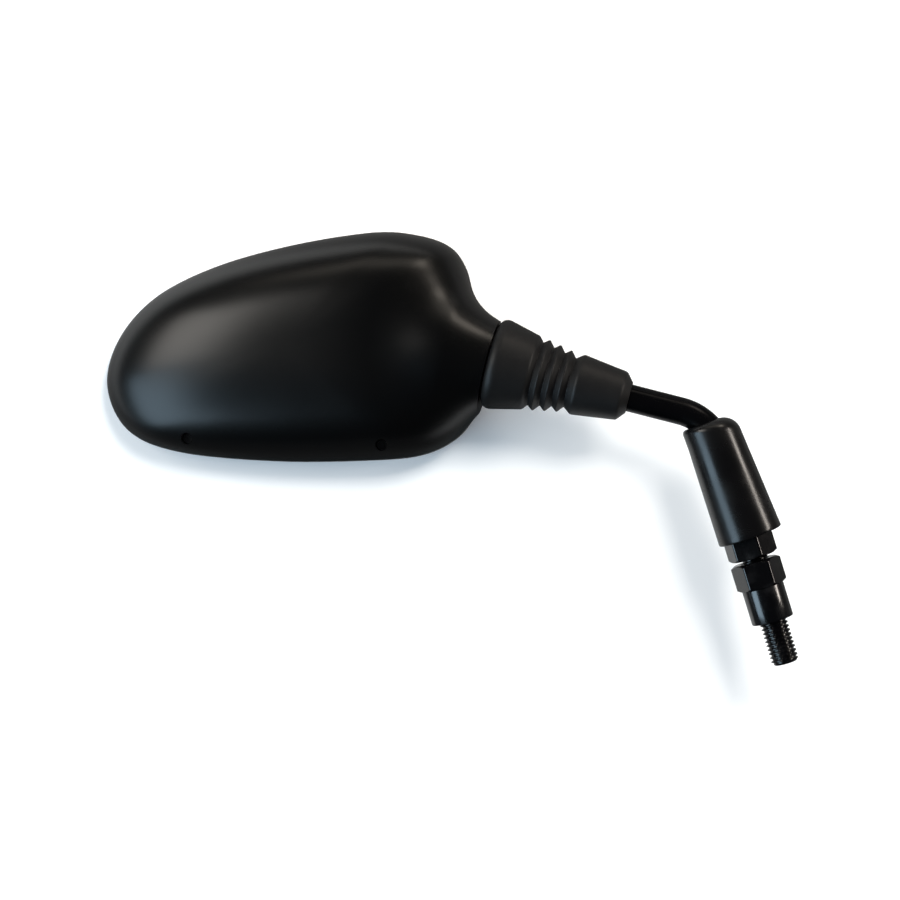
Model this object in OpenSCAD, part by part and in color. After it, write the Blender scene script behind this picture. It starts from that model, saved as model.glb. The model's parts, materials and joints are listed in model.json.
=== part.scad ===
// Right-hand motorcycle mirror: a convex glass in a moulded housing, held by a ball clamp on a bent
// steel stem, which screws into a stud adapter with a lock nut. Rubber covers both ends of the stem.
// The origin is the centre of the adapter's shoulder, where it seats on the bracket of the handlebar.
// +Z is up, +X points away from the head, and the glass faces +Y.

/* [Stud adapter] */
// Lean of the stud from upright, its top toward the head
stud_lean = 17; // [0:1:30]
// Diameter of the mounting stud, M10
stud_d = 10; // [8:1:12]
// Length of the mounting stud
stud_length = 16; // [10:1:25]
// Chamfer at the tip of the mounting stud
stud_chamfer = 1; // [0.5:0.1:1.5]
// Diameter of the round shank above the stud
shank_d = 15.2; // [14:0.1:16]
// Length of the round shank
shank_length = 12.6; // [9:0.1:20]
// Width across flats of the adapter's hexagon and of the lock nut
hex_flats = 16; // [15:0.5:18]
// Height of the adapter's hexagon
hex_height = 9.7; // [7:0.1:14]
// Turn of the adapter's hexagon about the stud
hex_turn = 8; // [0:1:59]
// Depth of the threaded socket for the stem
socket_depth = 16; // [12:0.5:18]

/* [Lock nut] */
// Height of the lock nut
nut_height = 8; // [6:0.1:10]
// Gap between the adapter and the lock nut, which shows the stem's thread
nut_gap = 1.4; // [0:0.1:4]
// Turn of the lock nut about the stud
nut_turn = 18.7; // [0:0.1:59]

/* [Stem] */
// Diameter of the steel stem
stem_d = 10; // [9:0.5:11]
// Diameter over the stem's thread
stem_thread_d = 9.9; // [8.5:0.1:10]
// Radial clearance of the stem's thread in the adapter and in the nut
thread_clearance = 0.05; // [0.02:0.01:0.1]
// Length of the stem's thread
stem_thread_length = 36; // [28:1:40]
// Height of the bend's corner above the shoulder, along the stud
bend_height = 75.7; // [70:0.1:90]
// Radius of the bend, to the middle of the stem
bend_radius = 20; // [16:1:22]
// Length from the bend's corner to the centre of the ball
arm_length = 98; // [90:1:130]
// Droop of the arm below level, away from the head
arm_droop = 14.6; // [5:0.1:25]
// Turn of the arm toward the back of the head
arm_turn = 6.7; // [0:0.1:10]

/* [Ball pivot] */
// Diameter of the pivot ball
ball_d = 18; // [17:0.5:19]
// Diameter of the stem's neck beside the ball
ball_neck_d = 8; // [7:0.5:8.5]
// Distance from the ball's centre to the flat that seats on the stem's neck
ball_flat = 6.5; // [6:0.1:7]
// Diameter of the stem's spigot in the ball
spigot_d = 6; // [4:0.5:6.5]
// Wall of the two nylon liners
liner_wall = 1.4; // [1:0.1:1.6]
// Running clearance between the ball, the liners and their seats
ball_clearance = 0.05; // [0.02:0.01:0.1]
// Half the opening angle of the saddle liner
saddle_liner_angle = 42; // [30:1:44]
// Half the opening angle of the clamp liner
clamp_liner_angle = 50; // [30:1:52]
// Angle that the stem can swing from the middle of the neck
stem_swing = 16.2; // [10:0.1:17]

/* [Ball clamp] */
// Wall of the clamp and of the saddle beside the ball's seat
clamp_wall = 1.7; // [1.5:0.1:2.5]
// Distance from the ball's centre to the clamp's edge, toward the glass
clamp_edge = 4.5; // [4:0.1:5.5]
// Height of the clamp over the ball's centre
clamp_top = 13; // [12.5:0.1:13.5]
// Distance of each clamp screw from the ball's centre
clamp_screw_offset = 18.5; // [18:0.5:20]
// Thickness of the clamp's two ears
ear_thickness = 3; // [2.5:0.1:3.2]
// Height of the ears' lower face over the ball's centre
ear_height = 3; // [2.5:0.1:3.3]
// Diameter of the clamp screws
clamp_screw_d = 3.5; // [3:0.1:4]
// Height of the clamp springs, as fitted
spring_height = 5.2; // [4.5:0.1:5.4]
// Diameter of the springs' wire
spring_wire = 1; // [0.8:0.1:1.1]
// Turns of each clamp spring
spring_turns = 4; // [3:0.5:4.5]

/* [Housing] */
// Length of the head, without its neck
head_length = 139; // [120:1:160]
// Height of the head
head_height = 85.6; // [76:0.2:96]
// Distance from the head's end beside the neck to the ball's centre
ball_setback = 10.5; // [9.5:0.5:13]
// Height of the head's middle over the ball's centre
head_rise = 2.5; // [0:0.5:5]
// Depth of the housing at the middle of the head
head_depth = 34; // [32:0.5:38]
// Depth that the housing gains from its middle to the neck end
depth_gain = 10; // [6:0.5:12]
// Fullness of the housing's curve, where 2 is an ellipse
fullness = 2.7; // [2.4:0.1:3.2]
// Depth of the ball's centre below the housing's edge
ball_inset = 21.5; // [21:0.1:23]
// Wall of the housing
wall = 2.4; // [2:0.1:2.8]
// Wall of the housing beside the glass carrier
rim_wall = 1.5; // [1.2:0.1:1.8]
// Radius of the neck around the ball
neck_root_r = 17.5; // [17:0.1:18.5]
// Radius of the neck at its end
neck_end_r = 15.2; // [14.8:0.1:16]
// Distance from the ball's centre to the end of the neck
neck_length = 15.2; // [14:0.1:16]
// Size of the fillet between the head and the neck
neck_blend = 16; // [6:1:18]
// Outer radius of the spigot that holds the bellows
neck_spigot_r = 12.6; // [12.4:0.1:13]
// Length of that spigot
neck_spigot_length = 4; // [3:0.5:4.5]
// Distance of the outer screw well from the head's outer end
outer_well_setback = 31.8; // [28:0.1:38]
// Height of the outer screw well over the head's lower edge
outer_well_lift = 8.6; // [8.2:0.1:14]
// Distance of the inner screw well from the head's end beside the neck
inner_well_setback = 35.5; // [28:0.1:42]
// Height of the inner screw well over the head's lower edge
inner_well_lift = 6.2; // [6:0.1:12]
// Diameter of the two screw wells in the back
well_d = 4.2; // [4:0.1:4.6]
// Depth of the wells' floor below the housing's edge
well_floor = 11; // [10.5:0.1:12]
// Thickness of the wells' floor
well_floor_wall = 1.6; // [1.2:0.1:2]

/* [Glass] */
// Thickness of the mirror glass
glass_thickness = 2; // [1.8:0.1:3]
// Radius of the convex glass
glass_radius = 1200; // [900:50:2000]
// Depth of the middle of the glass below the housing's edge
glass_recess = 0.3; // [0.1:0.1:1]
// Thickness of the foam pad behind the glass
pad_thickness = 1; // [0.5:0.1:1.5]
// Depth of the carrier's seat below the housing's edge
seat_depth = 7; // [6.5:0.1:7.5]
// Gap between the carrier and the housing
carrier_gap = 0.3; // [0.2:0.1:0.5]
// Thickness of the lip around the glass
lip_wall = 1.2; // [1:0.1:1.6]
// Gap between the glass and the lip
glass_gap = 0.2; // [0.1:0.1:0.4]
// Diameter of the two screws that hold the carrier
carrier_screw_d = 2.2; // [2:0.1:2.6]
// Diameter of their heads
carrier_screw_head_d = 3.8; // [3.4:0.1:3.9]

/* [Rubber] */
// Length of the bend's foot that the stem cover laps over
cover_lap = 10.6; // [7:0.1:11]
// Radius of the stem cover at its mouth
cover_mouth_r = 11.7; // [11.2:0.1:12.5]
// Radius of the stem cover below its rounded top
cover_top_r = 10.1; // [9.4:0.1:10.8]
// Radius of the stem cover's rounded shoulder
cover_shoulder = 6.5; // [5:0.5:8]
// Wall of the stem cover
cover_wall = 2; // [1.5:0.1:2.2]
// Lean of the stem cover against the stud, where the bend pushes it over
cover_lean = 3.3; // [0:0.1:4]
// Shift of the stem cover's mouth off the stud's axis, away from the head
cover_shift = 1.1; // [0:0.1:1.2]
// Radial clearance of the stem cover on the stem
cover_clearance = 0.4; // [0.4:0.05:0.6]
// Length of the bellows' wide collar
bellows_collar = 15.3; // [12:0.1:18]
// Distance from one fold to the next
fold_pitch = 4.3; // [3.6:0.1:5]
// Length of the cone between the folds and the small end
bellows_cone = 16.6; // [12:0.1:22]
// Length of the small end that grips the stem
bellows_grip = 2.8; // [2:0.1:6]
// Largest radius of the bellows
bellows_r = 16.8; // [16.2:0.1:18]
// Radius of the bellows' small end
bellows_end_r = 9; // [8:0.1:10]
// Wall of the bellows
bellows_wall = 1.4; // [1:0.1:1.8]
// Depth of the folds
fold_depth = 2.1; // [1.2:0.1:2.6]
// Number of full folds
folds = 3; // [2:1:4]

/* [Hidden] */
$fn = 64;
// Overrun of a cut past the face that it opens
past = 1;
// Gap at faces that are glued or only just touch
touch = 0.05;

// Places on the stem, in the order of assembly
stud_up = [-sin(stud_lean), 0, cos(stud_lean)];
neck_out = [cos(arm_droop) * cos(arm_turn), -cos(arm_droop) * sin(arm_turn), -sin(arm_droop)];
hex_top = shank_length + hex_height;
nut_foot = hex_top + nut_gap;
nut_top = nut_foot + nut_height;
stem_foot = hex_top - socket_depth + past;
bend_corner = bend_height * stud_up;
bend_angle = acos(-stud_up * neck_out);
bend_tangent = bend_radius * tan(bend_angle / 2);
ball_centre = bend_corner - arm_length * neck_out;

// The ball's seats and the room for the stem's swing
ball_r = ball_d / 2;
liner_inner_r = ball_r + ball_clearance;
liner_outer_r = liner_inner_r + liner_wall;
seat_r = liner_outer_r + ball_clearance;
clamp_r = seat_r + clamp_wall;
swing_gap = 0.4;
stem_neck_end = 12;
bend_thinning = 0.02;
stem_taper_end = 15;
spring_foot = ear_height + ear_thickness;
screw_head_foot = spring_foot + spring_height + 2 * touch;
clamp_screw_head_r = clamp_screw_d;
clamp_screw_head_h = 2.1;
ear_rim = 3;
boss_wall = 2.8;
clamp_screw_grip = 6;
ear_r = clamp_screw_d / 2 + ear_rim;
clamp_bevel = 2.4;
boss_r = clamp_screw_d / 2 + boss_wall;

// The head's own middle, at the housing's edge
head_reach = head_length / 2 - ball_setback;
head_middle = ball_centre + [-head_reach, ball_inset, head_rise];

// Places of the two screw wells, measured from the head's middle
well_places = [
    [outer_well_setback - head_length / 2, outer_well_lift - head_height / 2],
    [head_length / 2 - inner_well_setback, inner_well_lift - head_height / 2]
];
tower_wall = 1.4;
// Depths and insets of the glass, its pad and its carrier
pad_back = glass_thickness + pad_thickness;
lip_inset = rim_wall + carrier_gap;
glass_inset = lip_inset + lip_wall + glass_gap;
lip_depth = glass_thickness + 3 * glass_recess;

// Turns of the outline from the neck side over the top, as shares of half the head's length and height
outline_shape = [[1, -0.05], [0.975, 0.42], [0.94, 0.69], [0.85, 0.88], [0.67, 0.98], [0.43, 1], [0, 0.89],
    [-0.41, 0.705], [-0.735, 0.44], [-0.935, 0.075], [-1, -0.341], [-0.885, -0.73], [-0.6, -0.92],
    [-0.073, -0.998], [0.43, -0.99], [0.7, -0.945], [0.88, -0.81], [0.98, -0.61], [1, -0.37]];
outline_steps = 4;
// Angles of the housing's rings, from its edge to the crown, closest together where the neck leaves
ring_angles = [0, 4, 8, 12, 16, 20, 24, 28, 33, 39, 46, 54, 63, 74];

// A closed smooth curve through points, as evenly stepped points
function curve_point(a, b, c, d, t) =
    0.5 * (2 * b + (c - a) * t + (2 * a - 5 * b + 4 * c - d) * t * t + (3 * b - a - 3 * c + d) * t * t * t);
function closed_curve(points, steps) = [
    for (i = [0 : len(points) - 1])
        let (n = len(points))
        for (k = [0 : steps - 1])
            curve_point(points[(i + n - 1) % n], points[i], points[(i + 1) % n], points[(i + 2) % n], k / steps)
];

outline = [for (p = closed_curve(outline_shape, outline_steps)) [p[0] * head_length / 2, p[1] * head_height / 2]];
columns = len(outline);

// The outline moved inward by a distance, at right angles to itself
function inset_outline(distance) = [
    for (i = [0 : columns - 1])
        let (run = outline[(i + 1) % columns] - outline[(i + columns - 1) % columns])
        let (side = [run[1], -run[0]] / norm(run))
        outline[i] - distance * side
];

// Distance of a point past the domed head, along the ray from the head's middle, with y as depth
function dome_gap(p, edge, inset) =
    let (depth = head_depth + depth_gain * p[0] / (head_length / 2) - inset)
    let (share = pow(pow(norm([p[0], p[2]]) / (edge - inset), fullness) + pow(p[1] / depth, fullness), 1 / fullness))
    norm(p) * (1 - 1 / share);

// Distance of a point past the round neck, which starts at the ball
function neck_gap(p, inset) =
    let (way = [neck_out[0], -neck_out[1], neck_out[2]])
    let (q = p - [head_reach, ball_inset, -head_rise])
    let (run = min(max(q * way, 0), neck_length + wall))
    norm(q - run * way) - (neck_root_r + (neck_end_r - neck_root_r) * run / neck_length - inset);

// The smaller of two distances, rounded where they meet
function soft_min(a, b) = min(a, b) - pow(max(neck_blend - abs(a - b), 0), 2) / (4 * neck_blend);

// Length of a ray from the head's middle to the head's surface, found by halving
function surface_reach(way, edge, inset, low, high, turns) =
    let (middle = (low + high) / 2)
    turns == 0 ? middle :
    soft_min(dome_gap(middle * way, edge, inset), neck_gap(middle * way, inset)) > 0
        ? surface_reach(way, edge, inset, low, middle, turns - 1)
        : surface_reach(way, edge, inset, middle, high, turns - 1);

// One ring of the head's surface, at an angle from the plane of its edge
function surface_ring(angle, inset) = [
    for (p = outline)
        let (edge = norm(p))
        let (way = [cos(angle) * p[0] / edge, sin(angle), cos(angle) * p[1] / edge])
        let (reach = surface_reach(way, edge, inset, past, head_length, 18))
        [reach * way[0], -reach * way[1], reach * way[2]]
];

module along_stud() {
    rotate([0, -stud_lean, 0]) children();
}

// Local +Z runs out of the neck, from the ball toward the bend
module along_neck() {
    translate(ball_centre) rotate([0, 90 + arm_droop, -arm_turn]) children();
}

// Local +Z runs from the ball toward the glass
module toward_glass() {
    translate(ball_centre) rotate([-90, 0, 0]) children();
}

// Local +Z runs from the ball toward the back of the housing
module toward_back() {
    translate(ball_centre) rotate([90, 0, 0]) children();
}

// A plate with an outline of its own, between two depths below the housing's edge
module head_plate(points, deep, shallow) {
    translate(head_middle - [0, shallow, 0])
        rotate([90, 0, 0])
            linear_extrude(deep - shallow) polygon(points);
}

// A solid of the head's outer form or of its hollow, closed past the edge by a straight collar
module head_form(inset, collar) {
    rings = [for (angle = ring_angles) surface_ring(angle, inset)];
    edge = collar > 0 ? concat([[for (p = rings[0]) p + [0, collar, 0]]], rings) : rings;
    rows = len(edge);
    crown = surface_reach([0, 1, 0], head_length, inset, past, head_length, 18);
    points = concat([for (ring = edge) each ring], [[0, -crown, 0], [0, collar, 0]]);
    top = rows * columns;
    lid = top + 1;
    sides = [
        for (r = [0 : rows - 2])
            for (c = [0 : columns - 1])
                let (a = r * columns + c)
                let (b = r * columns + (c + 1) % columns)
                each [[a, a + columns, b + columns], [a, b + columns, b]]
    ];
    caps = [
        for (c = [0 : columns - 1])
            let (d = (c + 1) % columns)
            each [[(rows - 1) * columns + c, top, (rows - 1) * columns + d], [d, lid, c]]
    ];
    translate(head_middle) polyhedron(points, concat(sides, caps), convexity = 6);
}

// A hexagon with its corners turned off on a cone
module chamfered_hex(height) {
    corner_r = hex_flats / 2 / cos(30);
    face_r = hex_flats / 2 * 0.96;
    rise = (corner_r - face_r) * tan(30);
    intersection() {
        cylinder(h = height, r = corner_r, $fn = 6);
        rotate_extrude()
            polygon([[0, 0], [face_r, 0], [corner_r, rise], [corner_r, height - rise], [face_r, height], [0, height]]);
    }
}

// The bend of the stem, or room around it
module stem_bend(radius, angle) {
    arm_way = -neck_out;
    centre = bend_corner + (arm_way - stud_up) / norm(arm_way - stud_up) * bend_radius / cos(bend_angle / 2);
    start = (bend_corner - bend_tangent * stud_up - centre) / bend_radius;
    turn = cross(start, stud_up);
    multmatrix([
        [start[0], stud_up[0], turn[0], centre[0]],
        [start[1], stud_up[1], turn[1], centre[1]],
        [start[2], stud_up[2], turn[2], centre[2]]
    ])
        rotate_extrude(angle = angle) translate([bend_radius, 0]) circle(radius);
}

// Room for the stem as it swings in the neck
module swing_room() {
    run = neck_length + neck_spigot_length + past;
    foot_r = stem_d / 2 + swing_gap;
    along_neck() cylinder(h = run, r1 = foot_r, r2 = foot_r + run * tan(stem_swing));
}

// Steel adapter: stud below, round shank, hexagon, and a threaded socket for the stem
module stud_adapter() {
    socket_r = stem_thread_d / 2 + thread_clearance;
    color("#26272b") along_stud() difference() {
        union() {
            translate([0, 0, -stud_length])
                cylinder(h = stud_chamfer, r1 = stud_d / 2 - stud_chamfer, r2 = stud_d / 2);
            translate([0, 0, stud_chamfer - stud_length]) cylinder(h = stud_length - stud_chamfer, d = stud_d);
            cylinder(h = shank_length, d = shank_d);
            translate([0, 0, shank_length]) rotate([0, 0, -hex_turn]) chamfered_hex(hex_height);
        }
        translate([0, 0, hex_top - socket_depth]) cylinder(h = socket_depth + past, r = socket_r);
    }
}

// Steel lock nut on the stem's thread
module lock_nut() {
    color("#202125") along_stud() translate([0, 0, nut_foot]) difference() {
        rotate([0, 0, -nut_turn]) chamfered_hex(nut_height);
        translate([0, 0, -past])
            cylinder(h = nut_height + 2 * past, r = stem_thread_d / 2 + thread_clearance);
    }
}

// Bent steel stem, threaded below, with a neck and a spigot for the ball
module stem() {
    thread_top = stem_foot + stem_thread_length;
    bend_lap = 0.3;
    bend_start = bend_height - bend_tangent + bend_lap;
    arm_start = arm_length - bend_tangent + bend_lap;
    color("#141416") union() {
        along_stud() union() {
            translate([0, 0, stem_foot]) cylinder(h = stem_thread_length, d = stem_thread_d);
            translate([0, 0, thread_top]) cylinder(h = bend_start - thread_top, d = stem_d);
        }
        stem_bend(stem_d / 2 - bend_thinning, bend_angle);
        along_neck() union() {
            translate([0, 0, stem_taper_end]) cylinder(h = arm_start - stem_taper_end, d = stem_d);
            translate([0, 0, stem_neck_end])
                cylinder(h = stem_taper_end - stem_neck_end, d1 = ball_neck_d, d2 = stem_d);
            translate([0, 0, ball_flat]) cylinder(h = stem_neck_end - ball_flat, d = ball_neck_d);
            translate([0, 0, -ball_flat]) cylinder(h = 2 * ball_flat, d = spigot_d);
        }
    }
}

// Ball pressed on the stem's spigot
module pivot_ball() {
    color("#8d9095") along_neck() difference() {
        sphere(ball_r);
        translate([0, 0, ball_flat]) cylinder(h = ball_r, r = ball_r);
        translate([0, 0, -ball_flat - touch]) cylinder(h = 2 * ball_r, d = spigot_d + 2 * touch);
    }
}

// A cap of a hollow sphere around local +Z
module liner_cap(half_angle) {
    intersection() {
        difference() {
            sphere(liner_outer_r);
            sphere(liner_inner_r);
        }
        cylinder(h = 2 * ball_r, r1 = 0, r2 = 2 * ball_r * tan(half_angle));
    }
}

// Nylon liner between the ball and the saddle in the housing
module saddle_liner() {
    color("#d8d5cb") toward_back() liner_cap(saddle_liner_angle);
}

// Nylon liner between the ball and the clamp
module clamp_liner() {
    color("#d8d5cb") toward_glass() liner_cap(clamp_liner_angle);
}

// Each place of a clamp screw, with local +Z toward the glass
module at_clamp_screw(side) {
    toward_glass() translate([0, -side * clamp_screw_offset, 0]) children();
}

// Saddle under the ball and the two bosses for the clamp screws
module clamp_supports() {
    saddle_edge = clamp_edge + swing_gap;
    toward_back() translate([0, 0, saddle_edge]) cylinder(h = head_depth, r = clamp_r);
    for (side = [-1, 1])
        at_clamp_screw(side) translate([0, 0, ear_height - head_depth]) cylinder(h = head_depth, r = boss_r);
}

// Each screw well, with local +Z toward the back
module at_well(place) {
    translate(head_middle + [place[0], 0, place[1]]) rotate([90, 0, 0]) children();
}

// Moulded housing: domed shell with a neck, a saddle for the ball, screw bosses and two screw wells
module housing() {
    cut_r = 3 * neck_end_r;
    tower_r = well_d / 2 + tower_wall;
    pilot_r = clamp_screw_d / 2 + touch;
    color("#1d1d1f") difference() {
        union() {
            difference() {
                head_form(0, 0);
                along_neck() translate([0, 0, neck_length]) cylinder(h = cut_r, r = cut_r);
            }
            along_neck() translate([0, 0, neck_length - wall])
                cylinder(h = wall + neck_spigot_length, r = neck_spigot_r);
        }
        difference() {
            head_form(wall, past);
            clamp_supports();
            for (place = well_places)
                at_well(place) translate([0, 0, well_floor - well_floor_wall])
                    cylinder(h = head_depth, r = tower_r);
            along_neck() translate([0, 0, neck_length - wall]) cylinder(h = cut_r, r = cut_r);
        }
        head_plate(inset_outline(rim_wall), seat_depth, -past);
        translate(ball_centre) sphere(seat_r);
        swing_room();
        for (side = [-1, 1])
            at_clamp_screw(side) translate([0, 0, ear_height - clamp_screw_grip])
                cylinder(h = clamp_screw_grip + past, r = pilot_r);
        for (place = well_places) {
            at_well(place) translate([0, 0, well_floor]) cylinder(h = head_depth, d = well_d);
            at_well(place) cylinder(h = head_depth, d = carrier_screw_d + 4 * touch);
        }
    }
}

// Clamp that presses the ball into its saddle: a cup with two ears
module ball_clamp() {
    bar = ear_r * 1.7;
    color("#55585d") difference() {
        union() {
            toward_glass() translate([0, 0, clamp_edge])
                cylinder(h = clamp_top - clamp_bevel - clamp_edge, r = clamp_r);
            toward_glass() translate([0, 0, clamp_top - clamp_bevel])
                cylinder(h = clamp_bevel, r1 = clamp_r, r2 = clamp_r - clamp_bevel);
            toward_glass() translate([-bar / 2, -clamp_screw_offset, ear_height])
                cube([bar, 2 * clamp_screw_offset, ear_thickness]);
            for (side = [-1, 1])
                at_clamp_screw(side) translate([0, 0, ear_height]) cylinder(h = ear_thickness, r = ear_r);
        }
        translate(ball_centre) sphere(seat_r);
        swing_room();
        for (side = [-1, 1])
            at_clamp_screw(side) cylinder(h = clamp_top, r = clamp_screw_d / 2 + 4 * touch);
    }
}

// Coil spring under the head of a clamp screw
module clamp_spring(side) {
    steps = 12;
    sides = 6;
    screw_gap = 0.35;
    coil_r = clamp_screw_d / 2 + screw_gap + spring_wire / 2;
    climb = spring_height - spring_wire;
    count = steps * spring_turns;
    rings = [
        for (i = [0 : count])
            let (a = 360 * i / steps)
            for (k = [0 : sides - 1])
                let (b = 360 * k / sides)
                let (r = coil_r + spring_wire / 2 * cos(b))
                [r * cos(a), r * sin(a), spring_wire / 2 * (1 + sin(b)) + climb * i / count]
    ];
    walls = [
        for (i = [0 : count - 1])
            for (k = [0 : sides - 1])
                let (a = i * sides + k)
                let (b = i * sides + (k + 1) % sides)
                each [[a, b, b + sides], [a, b + sides, a + sides]]
    ];
    ends = [[for (k = [sides - 1 : -1 : 0]) k], [for (k = [0 : sides - 1]) count * sides + k]];
    color("#9a9da2") at_clamp_screw(side) translate([0, 0, spring_foot + touch])
        polyhedron(rings, concat(walls, ends), convexity = 8);
}

module clamp_spring_upper() {
    clamp_spring(1);
}

module clamp_spring_lower() {
    clamp_spring(-1);
}

// Two clamp screws with round heads and cross recesses
module clamp_screws() {
    shank_foot = ear_height - clamp_screw_grip + 4 * touch;
    color("#85888d")
        for (side = [-1, 1])
            at_clamp_screw(side) difference() {
                union() {
                    translate([0, 0, shank_foot]) cylinder(h = screw_head_foot - shank_foot, d = clamp_screw_d);
                    translate([0, 0, screw_head_foot]) cylinder(h = clamp_screw_head_h, r = clamp_screw_head_r);
                }
                translate([0, 0, screw_head_foot + clamp_screw_head_h]) cross_recess(clamp_screw_head_r);
            }
}

// A cross recess that points down into a screw head at the origin
module cross_recess(head_r) {
    for (turn = [0, 90])
        rotate([0, 0, turn]) cube([head_r * 1.1, head_r * 0.28, head_r * 0.7], center = true);
}

// A dome with the convex glass's curve, its front at a depth below the front of the glass
module glass_dome(depth) {
    reach = 0.6 * head_length;
    steps = 16;
    radius = glass_radius - depth;
    arc = [
        for (i = [0 : steps])
            let (x = reach * i / steps)
            [x, sqrt(radius * radius - x * x) - glass_radius]
    ];
    translate(head_middle - [0, glass_recess, 0]) rotate([-90, 0, 0])
        rotate_extrude() polygon(concat(arc, [[reach, -3 * seat_depth], [0, -3 * seat_depth]]));
}

// Carrier: a tray with a lip round the glass and two bosses for the screws from the back
module glass_carrier() {
    boss_height = well_floor - well_floor_wall - seat_depth - touch;
    color("#2b2c2e") difference() {
        union() {
            intersection() {
                head_plate(inset_outline(lip_inset), seat_depth - touch, 0);
                glass_dome(pad_back + touch);
            }
            difference() {
                head_plate(inset_outline(lip_inset), seat_depth - 2 * touch, lip_depth);
                head_plate(inset_outline(lip_inset + lip_wall), seat_depth + past, 0);
            }
            for (place = well_places)
                at_well(place) translate([0, 0, seat_depth - past]) cylinder(h = boss_height + past, r = carrier_screw_d);
        }
        for (place = well_places)
            at_well(place) translate([0, 0, seat_depth - past])
                cylinder(h = boss_height + 2 * past, d = carrier_screw_d + 2 * touch);
    }
}

// Adhesive foam between the glass and its carrier
module foam_pad() {
    pad_margin = 3;
    color("#3a3a3a") intersection() {
        head_plate(inset_outline(glass_inset + pad_margin), seat_depth + past, -past);
        difference() {
            glass_dome(glass_thickness + touch);
            glass_dome(pad_back);
        }
    }
}

// Convex mirror glass
module glass() {
    color("#c9d2d8") intersection() {
        head_plate(inset_outline(glass_inset), seat_depth + past, -past);
        difference() {
            glass_dome(0);
            glass_dome(glass_thickness);
        }
    }
}

// Two small screws in the wells, which hold the carrier
module carrier_screws() {
    head_h = 1.6;
    grip = well_floor - seat_depth;
    color("#85888d")
        for (place = well_places)
            at_well(place) difference() {
                union() {
                    translate([0, 0, well_floor + touch]) cylinder(h = head_h, d = carrier_screw_head_d);
                    translate([0, 0, well_floor + touch - grip]) cylinder(h = grip, d = carrier_screw_d);
                }
                translate([0, 0, well_floor + touch + head_h]) cross_recess(carrier_screw_head_d / 2);
            }
}

// Rubber cover over the foot of the bend, pushed up to show the lock nut
module stem_cover() {
    nut_lap = 0.4;
    foot = nut_top - nut_lap;
    cover_length = bend_height - bend_tangent + cover_lap - foot;
    mouth_inner_r = hex_flats / 2 / cos(30) + cover_shift + 3 * touch;
    slide_room = 5;
    nut_room = nut_height + slide_room;
    step_slope = 4;
    cone_top = cover_length - cover_shoulder;
    room_r = stem_d / 2 + cover_clearance;
    shoulder = [
        for (a = [0 : 15 : 90])
            [cover_top_r - cover_shoulder + cover_shoulder * cos(a), cone_top + cover_shoulder * sin(a)]
    ];
    color("#222224") difference() {
        union() {
            along_stud() translate([cover_shift, 0, foot]) rotate([0, -cover_lean, 0])
                rotate_extrude() polygon(concat([[0, 0], [cover_mouth_r, 0]], shoulder, [[0, cover_length]]));
            stem_bend(stem_d / 2 + cover_wall, 0.6 * bend_angle);
        }
        along_stud() translate([cover_shift, 0, foot]) rotate([0, -cover_lean, 0]) rotate_extrude()
            polygon([
                [0, -past],
                [mouth_inner_r, -past],
                [mouth_inner_r, nut_room],
                [cover_top_r - cover_wall, nut_room + step_slope],
                [cover_top_r - cover_wall, cone_top],
                [stem_d / 2, cover_length - cover_wall],
                [0, cover_length - cover_wall]
            ]);
        stem_bend(room_r, bend_angle);
        along_stud() cylinder(h = bend_height + cover_length, r = room_r);
    }
}

// Rubber bellows from the housing's spigot to the stem: a wide collar, three folds and a cone
module neck_bellows() {
    foot = neck_length + 6 * touch;
    inner_foot_r = neck_spigot_r + touch;
    bore_r = stem_d / 2 + touch;
    rim_round = 3;
    collar_r = bellows_r - rim_round;
    cone_r = bellows_end_r + 2.2;
    collar_step = 1.7;
    cone_step = 2.8;
    grip_depth = 3;
    fold_start = bellows_collar + collar_step;
    fold_end = fold_start + folds * fold_pitch;
    cone_start = fold_end + cone_step;
    cone_end = cone_start + bellows_cone;
    tip = cone_end + bellows_grip;
    taper = (cone_r - collar_r) / (fold_end - fold_start);
    function valley(s) = [collar_r - fold_depth + taper * (s - fold_start), s];
    fold_points = [
        for (i = [0 : folds - 1])
            let (s = fold_start + i * fold_pitch)
            each [valley(s), valley(s + fold_pitch / 2) + [fold_depth, 0]],
        valley(fold_end)
    ];
    outer = concat(
        [[inner_foot_r + bellows_wall, 0], [bellows_r - 0.8, 1.2], [bellows_r, rim_round], [collar_r, bellows_collar]],
        fold_points,
        [[cone_r, cone_start], [bellows_end_r, cone_end], [bore_r + 0.6, tip]]
    );
    inner = concat(
        [[bore_r, tip], [bore_r, cone_end - grip_depth], [bellows_end_r - bellows_wall, cone_end - 2 * grip_depth]],
        [for (i = [len(fold_points) - 1 : -1 : 0]) fold_points[i] - [bellows_wall, 0]],
        [[collar_r - bellows_wall, bellows_collar], [inner_foot_r, neck_spigot_length + past], [inner_foot_r, 0]]
    );
    color("#29292b") along_neck() translate([0, 0, foot]) rotate_extrude() polygon(concat(outer, inner));
}

stud_adapter();
lock_nut();
stem();
pivot_ball();
stem_cover();
neck_bellows();
saddle_liner();
clamp_liner();
housing();
ball_clamp();
clamp_spring_upper();
clamp_spring_lower();
clamp_screws();
glass_carrier();
foam_pad();
glass();
carrier_screws();
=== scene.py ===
import json

import bpy
import numpy as np
from mathutils import Matrix, Vector


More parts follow.
